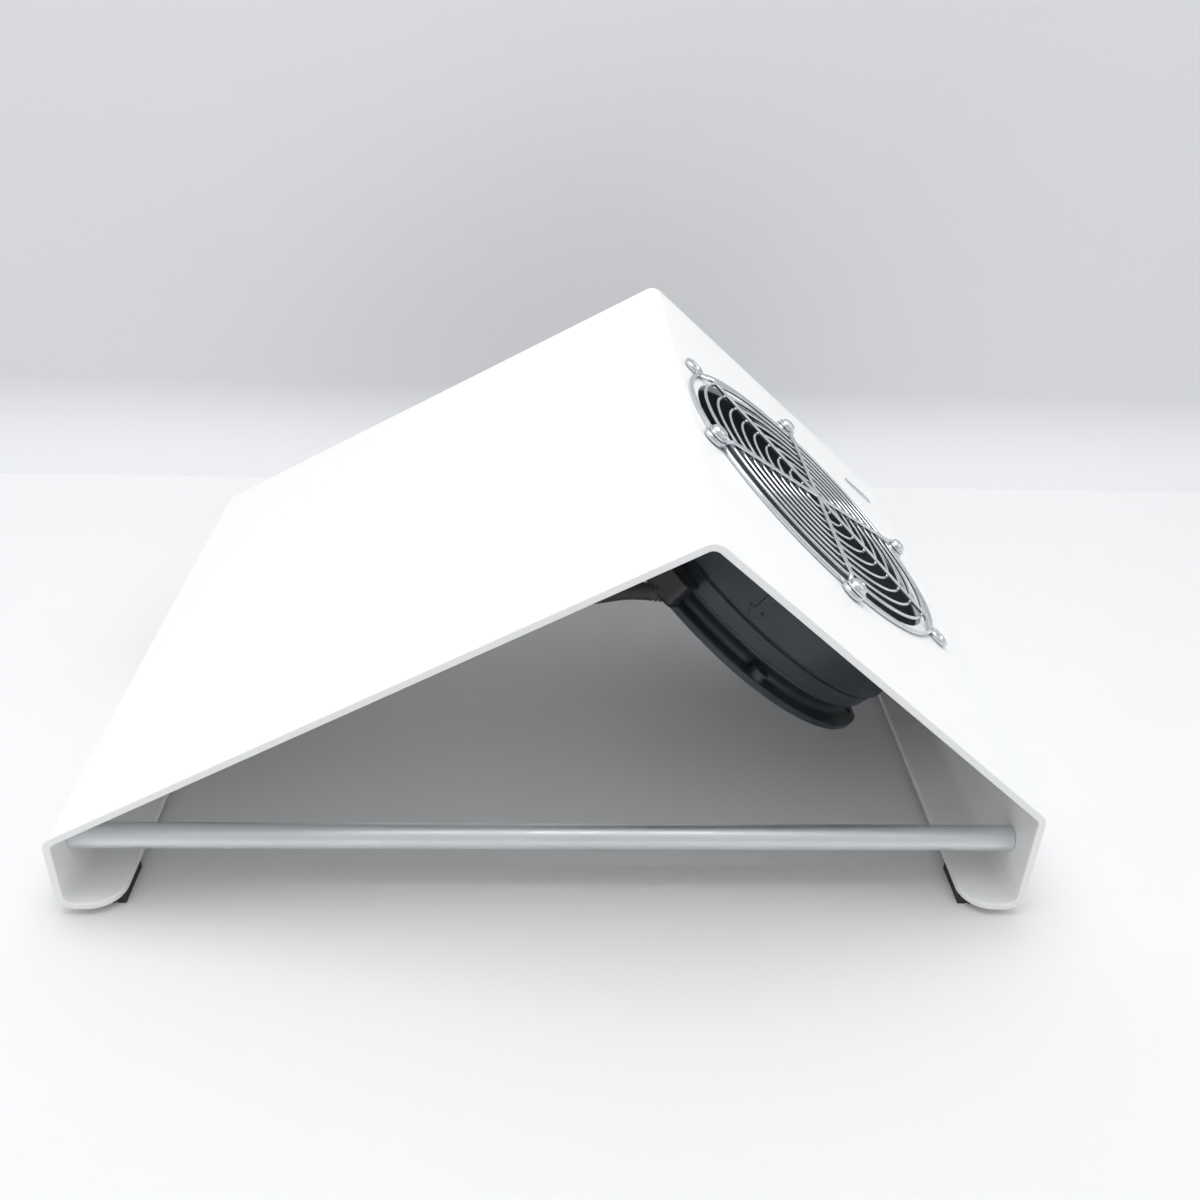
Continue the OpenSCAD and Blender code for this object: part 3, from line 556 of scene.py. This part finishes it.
def build_badge():
    """Small plain oval plate with a raised rim."""
    low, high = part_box("badge")
    centre = FAN.inverted() @ ((low + high) / 2)
    bm = bmesh.new()
    rings = []
    for inset, height in ((0.0, 0.0), (0.0, 0.25), (0.15, 0.4), (0.7, 0.4), (0.95, 0.26), (1.3, 0.24)):
        outline = rounded_rectangle(21 - 2 * inset, 7 - 2 * inset, 3.45 - inset, 10)
        rings.append([(centre.x + x, centre.y + y, height) for x, y in outline])
    loft(bm, rings)
    new_object("badge_plate", bm, badge_metal, "base", ["badge"], FAN)


# ---------------------------------------------------------------- finger guard

def build_guard():
    bm = bmesh.new()
    for k in range(ring_count):
        outer = k == ring_count - 1
        wire = rib_r if outer else ring_wire_r
        height = rib_r if outer else ring_z
        r = first_ring_r + ring_pitch * k
        steps = 48 + 14 * k
        tube(bm, [(x, y, height) for x, y in circle_points(r, steps)], wire, 12, closed=True)
    outer_r = first_ring_r + ring_pitch * (ring_count - 1)
    knee = outer_r - 6.5
    foot = outer_r - 1.0
    for a in (30, 90, 150):
        along = Vector((math.cos(math.radians(a)), math.sin(math.radians(a)), 0))
        reach = [foot + 1.2, foot, foot - 0.8, foot - 1.8, foot - 2.8, foot - 3.8, foot - 4.7, knee]
        line = []
        for r in reach:
            share = min(max((foot - r) / (foot - knee), 0.0), 1.0)
            line.append((r, rib_r + 0.1 + (rib_z - rib_r - 0.1) * (0.5 - 0.5 * math.cos(math.pi * share))))
        line += [(knee * (1 - k / 12), rib_z) for k in range(1, 13)]
        path = [(r, z) for r, z in line] + [(-r, z) for r, z in reversed(line[:-1])]
        tube(bm, [along * r + Vector((0, 0, z)) for r, z in path], rib_r, 14)
        for side in (-1, 1):
            centre = along * side * hole_circle_r
            loop = [(centre.x + x, centre.y + y, 1.5) for x, y in circle_points(eyelet_r, 40)]
            tube(bm, loop, 1.3, 12, closed=True)
            for k in range(ring_count - 1):
                weld(bm, along * side * (first_ring_r + ring_pitch * k) + Vector((0, 0, 2.8)), 1.0, 0.55)
            weld(bm, along * side * outer_r + Vector((0, 0, 1.4)), 1.3, 0.8)
            weld(bm, along * side * (foot - 0.2) + Vector((0, 0, rib_r)), 1.25, 0.9)
    new_object("guard_wires", bm, guard_plating, "base", ["finger_guard"], FAN, 60)


def weld(bm, at, width, height):
    """Small flattened bead of weld metal, a little uneven."""
    steps = 10
    grow = random.uniform(0.9, 1.1)
    angles = [math.pi * k / 6 for k in range(1, 6)]
    outline = [(width * grow * math.sin(a), -height * math.cos(a)) for a in angles]
    lathe(bm, [(0, -height), *outline, (0, height)], steps, closed=False, centre=at)


def build_guard_screws():
    head = [(3.75, 0.0), (3.9, 0.25), (3.86, 0.9), (3.5, 1.6), (2.8, 2.15), (2.0, 2.5), (1.2, 2.6)]
    screw = screw_mesh(head, 2.0, 20.0, 4, 1.75, 1.5, cross=True)
    washer = bmesh.new()
    lathe(washer, [(2.15, 0), (4.85, 0), (5.0, 0.12), (5.0, 0.66), (4.85, 0.8), (2.15, 0.8)], 48)
    screw_places, washer_places = [], []
    for index, a in enumerate(screw_angles):
        spot = Matrix.Rotation(math.radians(a), 4, "Z") @ Matrix.Translation((hole_circle_r, 0, 0))
        turn = Matrix.Rotation(0.5 + 1.1 * index, 4, "Z")
        screw_places.append(FAN @ spot @ Matrix.Translation((0, 0, 3.8)) @ turn)
        washer_places.append(FAN @ spot @ Matrix.Translation((0, 0, 3.0)))
    place_copies("guard_screw", screw, screw_places, zinc_plating, "guard_screws")
    place_copies("guard_washer", washer, washer_places, zinc_plating, "guard_washers")


# ---------------------------------------------------------------- fan

def build_fan_frame():
    bm = bmesh.new()
    outline = [
        (throat_r, fan_top - 0.3), (throat_r + 0.3, fan_top), (flange_r - 0.4, fan_top),
        (flange_r, fan_top - 0.4), (flange_r, -6.6), (flange_r - 0.4, -7.0), (barrel_r + 0.7, -7.0),
        (barrel_r + 0.2, -7.3), (barrel_r, -8.0), (barrel_r, -33.6), (barrel_r - 0.3, -34.2),
        (barrel_r - 1.6, -34.7), (barrel_r - 1.9, -35.2), (barrel_r - 1.6, -35.7), (barrel_r - 1.2, -36.0),
        (82.6, -37.0), (82.3, -38.6), (82.0, -40.2), (81.9, -42.2), (81.5, -42.9), (80.9, -43.1),
        (80.9, -43.5), (81.1, -43.9), (80.9, -44.4), (80.2, -44.7), (79.3, -45.2), (78.4, -46.0),
        (77.8, -47.0), (77.5, -48.2), (77.6, -49.4), (78.2, -50.4), (79.2, -50.9), (80.6, -51.0),
        (flange_r - 0.5, -51.0), (flange_r, -51.5), (flange_r, -53.5), (flange_r - 0.5, fan_bottom),
        (74.2, fan_bottom), (73.6, -53.6), (73.1, -52.0), (throat_r + 0.3, -47.0), (throat_r, -45.0)]
    lathe(bm, outline, 192)
    keep = bmesh.new()
    prism(keep, rounded_rectangle(2 * fan_flat, 2 * flange_r + 4, 1.0, 3), fan_bottom - 2, fan_top + 2)
    bm = boolean(bm, keep, "INTERSECT")

    more = bmesh.new()
    for a in (90, 270):
        x, y = hole_circle_r * math.cos(math.radians(a)), hole_circle_r * math.sin(math.radians(a))
        prism(more, circle_points(4.0, 32, x, y), -51.4, -47.2)
    bm = boolean(bm, more, "UNION")

    holes = bmesh.new()
    for a in hole_angles:
        x, y = hole_circle_r * math.cos(math.radians(a)), hole_circle_r * math.sin(math.radians(a))
        prism(holes, circle_points(2.0, 24, x, y), -18, 0)
        prism(holes, circle_points(2.2, 24, x, y), -60, -46)
    pocket = Matrix.Rotation(math.radians(plug_angle), 4, "Z") @ Matrix.Translation((81, 0, 0))
    prism(holes, rounded_rectangle(14.0, 18.0, 0.3, 2), -50, -41, pocket)
    bm = boolean(bm, holes)
    new_object("fan_frame", bm, fan_paint, "base", ["fan_housing"], FAN, 38)


def build_motor_mount():
    """Round motor plate with its bearing tube, and four streamlined struts out to the frame."""
    bm = bmesh.new()
    plate = [
        (9.5, motor_plate_bottom), (motor_plate_r - 0.8, motor_plate_bottom),
        (motor_plate_r, motor_plate_bottom + 0.8),
        (motor_plate_r, motor_plate_top - 1.2), (motor_plate_r - 0.4, motor_plate_top - 0.4),
        (motor_plate_r - 1.2, motor_plate_top), (14.0, motor_plate_top), (12.6, motor_plate_top + 0.5),
        (12.0, motor_plate_top + 2.0), (12.0, -17.5), (11.6, -17.0), (9.5, -17.0)]
    lathe(bm, plate, 120)
    for a in (45, 135, 225, 315):
        arm = Matrix.Rotation(math.radians(a), 4, "Z")
        rings = []
        for k in range(9):
            share = k / 8
            r = 38 + (72.6 - 38) * share
            width = 5.2 - 1.2 * math.sin(math.pi * share) + 1.4 * max(0.0, share - 0.85) / 0.15
            ring = []
            for t in [2 * math.pi * j / 24 for j in range(24)]:
                height = 3 * abs(math.sin(t)) ** 0.7 * math.copysign(1, math.sin(t))
                ring.append(arm @ Vector((r, width * math.cos(t), height - 49)))
            rings.append(ring)
        loft(bm, rings)
    new_object("motor_mount", bm, fan_paint, "base", (), FAN, 45)


def build_flow_arrow():
    """Raised arrow that follows the barrel, pointing the way the air goes."""
    outline = [(-1.5, -21), (1.5, -21), (1.5, -29), (4.0, -29), (0, -34.2), (-4.0, -29), (-1.5, -29)]
    bm = bmesh.new()
    rings = []
    for lift, shrink in ((-0.4, 0.0), (0.45, 0.0), (0.65, 0.25)):
        ring = []
        for u, z in outline:
            u2, z2 = u * (1 - shrink / 4), -27.5 + (z + 27.5) * (1 - shrink / 7)
            a = math.radians(arrow_angle) + u2 / barrel_r
            ring.append(((barrel_r + lift) * math.cos(a), (barrel_r + lift) * math.sin(a), z2))
        rings.append(ring)
    loft(bm, rings)
    new_object("flow_arrow", bm, fan_paint, "base", ["airflow_arrow"], FAN, 30)


def blade_ring(r, count=14):
    """Closed blade section at radius r, wrapped round the axis."""
    share = (r - cup_r) / (tip_r - cup_r)
    chord = 44 + 8 * share
    pitch = math.radians(42 - 9 * share)
    camber = 5.2 - 1.6 * share
    thick = 2.5 - 1.0 * share
    section = []
    for side in (1, -1):
        for k in range(count + 1):
            u = -math.cos(math.pi * k / count) * side
            if side < 0 and k in (0, count):
                continue
            x = u * chord / 2
            skin = side * thick / 2 * math.sqrt(max(0.0, 1 - u ** 4)) * (1.05 - 0.25 * u)
            height = camber * (1 - u * u) + skin
            section.append((x * math.cos(pitch) - height * math.sin(pitch),
                            x * math.sin(pitch) + height * math.cos(pitch) - camber * 0.5))
    return [(r * math.cos(t / r), r * math.sin(t / r), joint_depth + w) for t, w in section]


def build_impeller():
    bm = bmesh.new()
    hub = [(cup_r + 0.02, cup_top - 1.4), (hub_r - 0.6, cup_top - 1.2), (hub_r, cup_top - 1.9),
           (hub_r, cup_bottom + 0.6), (hub_r - 0.6, cup_bottom), (cup_r + 0.02, cup_bottom)]
    lathe(bm, hub, 144)
    for k in range(blade_count):
        turn = Matrix.Rotation(2 * math.pi * k / blade_count, 4, "Z")
        radii = [cup_r + 1, 47.5, 50, 53, 56, 59, 62, 65, 67.5, 68.9, tip_r]
        rings = [[turn @ Vector(p) for p in blade_ring(r)] for r in radii]
        loft(bm, rings)
    new_object("impeller_fan", bm, blade_plastic, "rotor",
               ["impeller_hub", "fan_blades"], FAN, 50)


def build_rotor_cap():
    """Pressed steel cup that closes the motor, with a stamped ring, a dished centre and vent slots."""
    bm = bmesh.new()
    outline = [
        (0, cup_top - 1.3), (3.0, cup_top - 1.3), (3.4, cup_top - 0.9), (8.0, cup_top - 0.9),
        (9.4, cup_top - 0.5), (10.6, cup_top), (27.0, cup_top), (28.0, cup_top - 0.5),
        (29.4, cup_top - 0.9), (33.0, cup_top - 0.9), (34.4, cup_top - 0.5), (35.4, cup_top),
        (40.4, cup_top), (42.0, cup_top - 0.3), (43.3, cup_top - 1.2), (43.9, cup_top - 2.4),
        (cup_r, cup_top - 3.4), (cup_r, cup_bottom + 0.4), (cup_r - 0.4, cup_bottom),
        (cup_r - 2.1, cup_bottom), (cup_r - 2.5, cup_bottom + 0.4), (cup_r - 2.5, cup_top - 4.0),
        (cup_r - 4.0, cup_top - 2.5), (8.0, cup_top - 2.5), (8.0, cup_top - 8.0), (0, cup_top - 8.0)]
    lathe(bm, outline, 128, closed=False)
    slots = bmesh.new()
    for k in range(6):
        turn = Matrix.Rotation(2 * math.pi * k / 6, 4, "Z") @ Matrix.Translation((19, 0, 0))
        prism(slots, rounded_rectangle(9.0, 4.2, 2.05, 6), cup_top - 6, cup_top + 2, turn)
    bm = boolean(bm, slots)
    new_object("rotor_cap", bm, cap_paint, "rotor", ["rotor_cup"], FAN, 40)


def build_windings():
    """Copper coils, wound in rounded bundles over and under the core."""
    bm = bmesh.new()
    coil_count = 8
    for k in range(coil_count):
        middle = 2 * math.pi * (k + 0.5) / coil_count
        for layer in range(3):
            half = math.radians(19.0 - 2.5 * layer)
            inner, outer = 21.5 + 1.3 * layer, 30.5 - 0.9 * layer
            for low, high in ((-42.3 + layer * 0.5, -38.2), (-20.0, -16.4 - layer * 0.5)):
                height = (low + high) / 2
                path = []
                for step in range(9):
                    a = middle - half + 2 * half * step / 8
                    path.append((outer * math.cos(a), outer * math.sin(a), height))
                for step in range(9):
                    a = middle + half - 2 * half * step / 8
                    path.append((inner * math.cos(a), inner * math.sin(a), height))
                tube(bm, path, abs(high - low) / 2, 10, closed=True)
    new_object("coil_bundles", bm, copper, "base", (), FAN, 60)


# ---------------------------------------------------------------- plug, lead and clips

def build_plug():
    """Moulded plug on the terminal block, with a ribbed strain relief towards the lead."""
    bm = bmesh.new()
    stand = Matrix.Rotation(math.radians(plug_angle), 4, "Z") @ Matrix.Translation((90, 0, 0))
    prism(bm, rounded_rectangle(12, 20, 2.2, 5), -50.6, -39.5, TO_METRES.inverted() @ FAN @ stand)
    round_edges(bm, 1.0, 3, 50)
    nose = (Vector(lead_route[0]) - Vector(lead_route[1])).normalized()
    exit_point = Vector(lead_route[0])
    path, radii = [], []
    for k in range(21):
        path.append(exit_point + nose * (0.5 * k))
        radii.append(3.8 + 0.7 * k / 20 - (0.4 if k % 4 in (2, 3) and k < 18 else 0.0))
    tube(bm, path, radii, 20)
    new_object("plug_body", bm, black_plastic, "base", ["fan_plug"], TO_METRES, 45)


def build_lead():
    bm = bmesh.new()
    tube(bm, smooth_path(lead_route, 10), lead_r, 18)
    new_object("lead_cable", bm, cable_vinyl, "base", ["fan_lead"], TO_METRES, 60)


# ---------------------------------------------------------------- rocker switch

def build_rocker():
    """Rocker with a dished top, modelled at rest with one side pressed."""
    bm = bmesh.new()
    width, radius = 10.0, 8.5
    half = 7.9
    across = [half - 2 * half * k / 16 for k in range(17)]
    top = [(x, 2.2 + 0.9 * (abs(x) / half) ** 2) for x in across]
    rim = (-0.30, -0.15, 0.0, 0.15, 0.28)
    near_end = [(-radius * math.cos(a), radius * math.sin(a)) for a in rim]
    far_end = [(radius * math.cos(a), radius * math.sin(a)) for a in (0.28, 0.15, 0.0, -0.15, -0.30)]
    outline = [(-half, -2.6), *near_end, *top[::-1][1:-1], *far_end, (half, -2.6)]
    tilt = on_left_leg(switch_y) @ Matrix.Translation((0, 0, -1)) @ Matrix.Rotation(math.pi / 2, 4, "X") \
        @ Matrix.Rotation(math.radians(10), 4, "Z")
    prism(bm, outline, -width / 2, width / 2, tilt)
    round_edges(bm, 0.45, 3, 60)
    prism(bm, circle_points(1.2, 20), -width / 2 - 1.2, width / 2 + 1.2, tilt)
    new_object("rocker_cap", bm, black_plastic, "rocker", ["switch_rocker"], TO_METRES, 40)
    marks = bmesh.new()
    on = tilt @ Matrix.Translation((4.6, 2.62, 0)) @ Matrix.Rotation(0.12, 4, "Z")
    off = tilt @ Matrix.Translation((-4.6, 2.62, 0)) @ Matrix.Rotation(-0.12, 4, "Z")
    flat = Matrix.Rotation(-math.pi / 2, 4, "X")
    prism(marks, rounded_rectangle(0.7, 3.4, 0.2, 2), -0.1, 0.1, on @ flat)
    ring = [off @ flat @ Vector((x, y, 0.05)) for x, y in circle_points(1.4, 28)]
    tube(marks, ring, 0.28, 8, closed=True)
    new_object("rocker_marks", marks, mark_paint, "rocker", (), TO_METRES, 40)


# ---------------------------------------------------------------- CAD nodes that stay

def dress(node, material, bevel_mm=0.3):
    """Gives a CAD node its material, clean flats and softly rounded edges."""
    piece = frame["nodes"][node]
    piece.data.materials.clear()
    piece.data.materials.append(material)
    flats = piece.modifiers.new("clean_flats", "DECIMATE")
    flats.decimate_type = "DISSOLVE"
    flats.angle_limit = math.radians(1)
    if bevel_mm:
        rounding = piece.modifiers.new("rounded_edges", "BEVEL")
        rounding.width = bevel_mm * MM
        rounding.segments = 2
        rounding.limit_method = "ANGLE"
        rounding.angle_limit = math.radians(45)
    normals = piece.modifiers.new("weighted_normals", "WEIGHTED_NORMAL")
    normals.keep_sharp = True


def dress_cad_nodes():
    dress("bearing_cap", black_plastic)
    dress("front_bearing", ground_steel, 0.2)
    dress("rear_bearing", ground_steel, 0.2)
    dress("stator_core", lamination, 0)
    dress("stator_windings", copper, 0)
    dress("stator_wires", wire_sleeve, 0)
    dress("motor_label", label_foil, 0)
    dress("rotor_cage", lamination, 0.2)
    dress("rotor_shaft", ground_steel, 0.2)
    dress("shaft_clip", lamination, 0.1)
    dress("terminal_block", black_plastic, 0.2)
    dress("terminal_tabs", brass, 0.1)
    dress("cable_clips", white_nylon, 0.3)
    dress("power_inlet", black_plastic, 0.35)
    dress("inlet_pins", brass, 0.2)
    dress("inlet_screws", zinc_plating, 0.1)
    dress("inlet_nuts", zinc_plating, 0.2)
    dress("inlet_boot", cable_vinyl, 0.8)
    dress("switch_housing", black_plastic, 0.3)
    dress("switch_tabs", brass, 0.1)
    dress("switch_wires", wire_sleeve, 0)


# ---------------------------------------------------------------- stage, light and camera

def stage_object(name, rows, material):
    bm = bmesh.new()
    loft(bm, rows, closed_round=False, cap=False)
    mesh = bpy.data.meshes.new(name)
    bm.to_mesh(mesh)
    bm.free()
    mesh.shade_smooth()
    mesh.materials.append(material)
    piece = bpy.data.objects.new(name, mesh)
    bpy.context.scene.collection.objects.link(piece)


def build_stage():
    """A pale table, and a wall close behind it that is clear when seen from its back."""
    grain = {"grain": (300, 0.00002, 0.05), "mottle": 2}
    table = make_material("pale_table", (0.79, 0.79, 0.795), (0.78, 0.78, 0.785), (0.6, 0.7), **grain)
    wall = make_material("pale_wall", (0.74, 0.745, 0.755), (0.725, 0.73, 0.74), (0.7, 0.8), **grain)
    nodes, links = wall.node_tree.nodes, wall.node_tree.links
    side = nodes.new("ShaderNodeNewGeometry")
    clear = nodes.new("ShaderNodeBsdfTransparent")
    choice = nodes.new("ShaderNodeMixShader")
    links.new(side.outputs["Backfacing"], choice.inputs["Fac"])
    links.new(nodes["Principled BSDF"].outputs["BSDF"], choice.inputs[1])
    links.new(clear.outputs["BSDF"], choice.inputs[2])
    links.new(choice.outputs["Shader"], nodes["Material Output"].inputs["Surface"])

    reach, wall_y, cove_r, wall_h, lift = 6.0, 0.30, 0.05, 3.0, 0.0002
    stage_object("table", [[(-reach, y, 0), (reach, y, 0)] for y in (-reach, reach)], table)
    curve = [(wall_y - cove_r + cove_r * math.sin(a), lift + cove_r * (1 - math.cos(a)))
             for a in [math.pi / 2 * k / 16 for k in range(17)]]
    curve.append((wall_y, wall_h))
    stage_object("wall", [[(-reach, y, z), (reach, y, z)] for y, z in curve], wall)


def area_light(name, at, look_at, size, power, colour=(1.0, 1.0, 1.0)):
    light = bpy.data.lights.new(name, "AREA")
    light.shape = "DISK"
    light.size = size
    light.energy = power
    light.color = colour
    lamp = bpy.data.objects.new(name, light)
    bpy.context.scene.collection.objects.link(lamp)
    lamp.location = at
    lamp.rotation_mode = "QUATERNION"
    lamp.rotation_quaternion = (Vector(look_at) - Vector(at)).to_track_quat("-Z", "Y")


def build_light():
    world = bpy.data.worlds.new("studio")
    world.use_nodes = True
    background = world.node_tree.nodes["Background"]
    background.inputs["Color"].default_value = (0.97, 0.985, 1.0, 1.0)
    towards = world.node_tree.nodes.new("ShaderNodeSeparateXYZ")
    strength = world.node_tree.nodes.new("ShaderNodeMapRange")
    coords = world.node_tree.nodes.new("ShaderNodeTexCoord")
    strength.inputs["From Min"].default_value = -0.9
    strength.inputs["From Max"].default_value = 0.1
    strength.inputs["To Min"].default_value = 0.62
    strength.inputs["To Max"].default_value = 1.0
    world.node_tree.links.new(coords.outputs["Generated"], towards.inputs["Vector"])
    world.node_tree.links.new(towards.outputs["Y"], strength.inputs["Value"])
    world.node_tree.links.new(strength.outputs["Result"], background.inputs["Strength"])
    bpy.context.scene.world = world
    bpy.context.scene.view_settings.view_transform = "Standard"
    area_light("overhead_softbox", (-0.1, 0.12, 1.3), (0.0, 0.0, 0.0), 1.3, 14)
    area_light("side_softbox", (1.3, -0.1, 0.9), (0.05, 0.0, 0.08), 0.9, 1.0)


def build_camera():
    data = bpy.data.cameras.new("camera")
    data.lens = 35.62
    data.sensor_width = 36.0
    data.clip_start = 0.01
    camera = bpy.data.objects.new("camera", data)
    bpy.context.scene.collection.objects.link(camera)
    yaw, pitch, roll = math.radians(2.96), math.radians(30.66), math.radians(2.20)
    forward = Vector((math.sin(yaw) * math.cos(pitch), math.cos(yaw) * math.cos(pitch), -math.sin(pitch)))
    level = Vector((math.cos(yaw), -math.sin(yaw), 0))
    above = level.cross(forward)
    right = level * math.cos(roll) + above * math.sin(roll)
    up = -level * math.sin(roll) + above * math.cos(roll)
    camera.matrix_world = Matrix.Translation((-0.00185, -0.4744, 0.33883)) \
        @ Matrix((right, up, -forward)).transposed().to_4x4()
    bpy.context.scene.camera = camera


build_camera()
build_stage()
build_light()
build_shell()
build_feet()
build_rods()
build_rod_screws()
build_badge()
build_guard()
build_guard_screws()
build_fan_frame()
build_motor_mount()
build_flow_arrow()
build_impeller()
build_rotor_cap()
build_windings()
build_plug()
build_lead()
build_rocker()
dress_cad_nodes()
